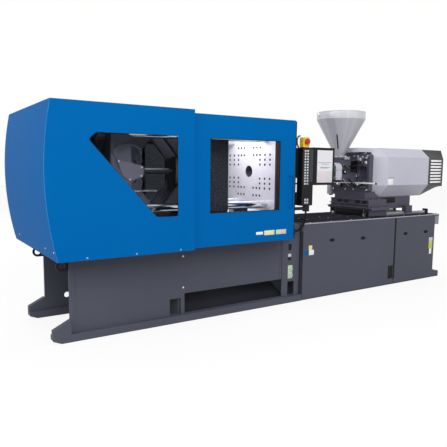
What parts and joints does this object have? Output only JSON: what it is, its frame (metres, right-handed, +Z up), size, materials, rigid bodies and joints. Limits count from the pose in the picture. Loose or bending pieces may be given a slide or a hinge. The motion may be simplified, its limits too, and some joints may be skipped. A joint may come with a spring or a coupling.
{
  "type": "injection moulding machine",
  "caption": "Horizontal electric injection moulding machine with sliding guard doors, toggle clamp between platens, hopper-fed screw unit and swivelling operator panel.",
  "frame": {"origin": "floor level under the mould face of the fixed platen, on the machine's centre plane", "axes": "+X along the machine from clamp to injection end, -Y to the operator side, +Z up"},
  "size_m": [4.8639, 1.312, 1.872],
  "materials": {
    "blue_enamel": "satin powder coat",
    "grey_enamel": "textured powder coat",
    "dark_cast": "painted casting",
    "machined_steel": "ground",
    "platen_nickel": "plated, fine ground",
    "hard_chrome": "polished",
    "clear_pane": "clear polycarbonate",
    "light_moulding": "fine moulded grain",
    "black_moulding": "fine moulded grain",
    "hopper_sheet": "satin light grey",
    "screen_white": "lit display",
    "signal_yellow": "moulded",
    "signal_red": "moulded",
    "conduit_black": "ribbed conduit",
    "black_iron": "black paint"
  },
  "bodies": {
    "machine_frame": {"clamp_base_frame": "grey_enamel", "lifting_lugs": "black_iron", "parts_chute": "grey_enamel", "water_fittings": "machined_steel", "platen_ways": "machined_steel", "fixed_platen": "platen_nickel", "tie_bars": "hard_chrome", "guard_frame": "black_iron", "clamp_cover_front": "blue_enamel", "clamp_cover_rear": "blue_enamel", "clamp_cover_end": "blue_enamel", "clamp_window": "clear_pane", "door_rails": "machined_steel", "injection_base_frame": "grey_enamel", "base_covers_front": "grey_enamel", "base_covers_rear": "grey_enamel", "control_cabinet": "black_iron", "end_socket_box": "light_moulding", "carriage_rails": "machined_steel", "hmi_bracket": "black_iron", "hmi_conduit": "conduit_black"},
    "front_door": {"front_door": "blue_enamel", "front_door_window": "clear_pane"},
    "rear_door": {"rear_door": "blue_enamel", "rear_door_window": "clear_pane"},
    "tailstock": {"tailstock_platen": "dark_cast", "clamp_motor": "dark_cast"},
    "ball_screw": {"ball_screw": "machined_steel"},
    "rear_link_upper": {"rear_link_upper": "dark_cast"},
    "rear_link_lower": {"rear_link_lower": "dark_cast"},
    "front_link_upper": {"front_link_upper": "dark_cast"},
    "front_link_lower": {"front_link_lower": "dark_cast"},
    "crosshead_link_upper": {"crosshead_link_upper": "dark_cast"},
    "crosshead_link_lower": {"crosshead_link_lower": "dark_cast"},
    "crosshead": {"crosshead": "dark_cast"},
    "moving_platen": {"moving_platen": "dark_cast"},
    "ejector": {"ejector_plate": "machined_steel"},
    "carriage": {"carriage_base": "dark_cast", "injection_front_plate": "dark_cast", "throat_block": "dark_cast", "throat_cover": "light_moulding", "barrel": "machined_steel", "heater_bands": "machined_steel", "hopper": "hopper_sheet", "hopper_lid": "hopper_sheet", "injection_rear_frame": "dark_cast", "injection_cover": "light_moulding", "injection_end_cap": "black_moulding"},
    "hopper_shutter": {"hopper_shutter": "machined_steel"},
    "injection_drive": {"drive_plate": "dark_cast"},
    "plasticising_screw": {"plasticising_screw": "machined_steel"},
    "injection_screw": {"injection_screw": "machined_steel"},
    "operator_panel": {"hmi_housing": "black_moulding", "hmi_screen": "screen_white", "estop_base": "signal_yellow"},
    "estop_button": {"estop_button": "signal_red"},
    "base_latch_1": {"base_latch_1": "black_moulding"},
    "base_latch_2": {"base_latch_2": "black_moulding"},
    "base_latch_3": {"base_latch_3": "black_moulding"},
    "base_latch_4": {"base_latch_4": "black_moulding"}
  },
  "joints": [
    {"name": "front_door_slide", "type": "slide", "parent": "machine_frame", "child": "front_door", "axis": [-1, 0, 0], "range_m": [0, 0.9]},
    {"name": "rear_door_slide", "type": "slide", "parent": "machine_frame", "child": "rear_door", "axis": [-1, 0, 0], "range_m": [0, 0.9]},
    {"name": "die_height", "type": "slide", "parent": "machine_frame", "child": "tailstock", "axis": [-1, 0, 0], "range_m": [-0.05, 0.2]},
    {"name": "toggle_close", "type": "hinge", "parent": "tailstock", "child": "rear_link_upper", "pos_m": [-1.291, 0, 1.325], "axis": [0, 1, 0], "range_deg": [0, 50.3]},
    {"name": "rear_link_lower_pin", "type": "hinge", "parent": "tailstock", "child": "rear_link_lower", "pos_m": [-1.291, 0, 1.145], "axis": [0, 1, 0], "range_deg": [-50.3, 0]},
    {"name": "knee_upper", "type": "hinge", "parent": "rear_link_upper", "child": "front_link_upper", "pos_m": [-1.02527, 0, 1.64507], "axis": [0, 1, 0], "range_deg": [-100.6, 0]},
    {"name": "knee_lower", "type": "hinge", "parent": "rear_link_lower", "child": "front_link_lower", "pos_m": [-1.02527, 0, 0.82493], "axis": [0, 1, 0], "range_deg": [0, 100.6]},
    {"name": "platen_pin", "type": "hinge", "parent": "front_link_upper", "child": "moving_platen", "pos_m": [-0.75955, 0, 1.325], "axis": [0, 1, 0], "range_deg": [0, 50.3]},
    {"name": "crosshead_link_upper_pin", "type": "hinge", "parent": "rear_link_upper", "child": "crosshead_link_upper", "pos_m": [-1.23019, 0, 1.51553], "axis": [0, 1, 0], "range_deg": [-100.6, 0]},
    {"name": "crosshead_link_lower_pin", "type": "hinge", "parent": "rear_link_lower", "child": "crosshead_link_lower", "pos_m": [-1.23019, 0, 0.95447], "axis": [0, 1, 0], "range_deg": [0, 100.6]},
    {"name": "crosshead_pin", "type": "hinge", "parent": "crosshead_link_upper", "child": "crosshead", "pos_m": [-1.16939, 0, 1.325], "axis": [0, 1, 0], "range_deg": [0, 50.3]},
    {"name": "ball_screw_spin", "type": "hinge", "parent": "tailstock", "child": "ball_screw", "pos_m": [-1.4, 0, 1.235], "axis": [1, 0, 0], "range_deg": [0, 4487.7]},
    {"name": "ejector_stroke", "type": "slide", "parent": "moving_platen", "child": "ejector", "axis": [1, 0, 0], "range_m": [0, 0.1]},
    {"name": "carriage_travel", "type": "slide", "parent": "machine_frame", "child": "carriage", "axis": [1, 0, 0], "range_m": [0, 0.25]},
    {"name": "hopper_shutter_slide", "type": "slide", "parent": "carriage", "child": "hopper_shutter", "axis": [0, -1, 0], "range_m": [0, 0.06]},
    {"name": "injection_stroke", "type": "slide", "parent": "carriage", "child": "injection_drive", "axis": [1, 0, 0], "range_m": [0, 0.14]},
    {"name": "plasticising_spin", "type": "hinge", "parent": "injection_drive", "child": "plasticising_screw", "pos_m": [1.4, 0, 1.235], "axis": [1, 0, 0], "continuous": true},
    {"name": "injection_screw_spin", "type": "hinge", "parent": "carriage", "child": "injection_screw", "pos_m": [2, 0, 1.235], "axis": [1, 0, 0], "range_deg": [0, 2521]},
    {"name": "panel_swivel", "type": "hinge", "parent": "machine_frame", "child": "operator_panel", "pos_m": [0.338, -0.45, 0.9], "axis": [0, 0, 1], "range_deg": [-90, 20]},
    {"name": "estop_press", "type": "slide", "parent": "operator_panel", "child": "estop_button", "axis": [0, 1, 0], "range_m": [0, 0.006], "stiffness_N_per_m": 400},
    {"name": "latch_turn_1", "type": "hinge", "parent": "machine_frame", "child": "base_latch_1", "pos_m": [0.741, -0.403, 0.563], "axis": [0, -1, 0], "range_deg": [0, 90]},
    {"name": "latch_turn_2", "type": "hinge", "parent": "machine_frame", "child": "base_latch_2", "pos_m": [1.191, -0.403, 0.552], "axis": [0, -1, 0], "range_deg": [0, 90]},
    {"name": "latch_turn_3", "type": "hinge", "parent": "machine_frame", "child": "base_latch_3", "pos_m": [1.883, -0.403, 0.554], "axis": [0, -1, 0], "range_deg": [0, 90]},
    {"name": "latch_turn_4", "type": "hinge", "parent": "machine_frame", "child": "base_latch_4", "pos_m": [2.246, -0.403, 0.553], "axis": [0, -1, 0], "range_deg": [0, 90]}
  ],
  "couplings": [
    {"joint": "rear_link_lower_pin", "follows": "toggle_close", "ratio": -1},
    {"joint": "knee_upper", "follows": "toggle_close", "ratio": -2},
    {"joint": "knee_lower", "follows": "toggle_close", "ratio": 2},
    {"joint": "platen_pin", "follows": "toggle_close", "ratio": 1},
    {"joint": "crosshead_link_upper_pin", "follows": "toggle_close", "ratio": -2},
    {"joint": "crosshead_link_lower_pin", "follows": "toggle_close", "ratio": 2},
    {"joint": "crosshead_pin", "follows": "toggle_close", "ratio": 1},
    {"joint": "ball_screw_spin", "follows": "toggle_close", "ratio": 89.198},
    {"joint": "injection_screw_spin", "follows": "injection_stroke", "rad_per_m": 314.16}
  ]
}
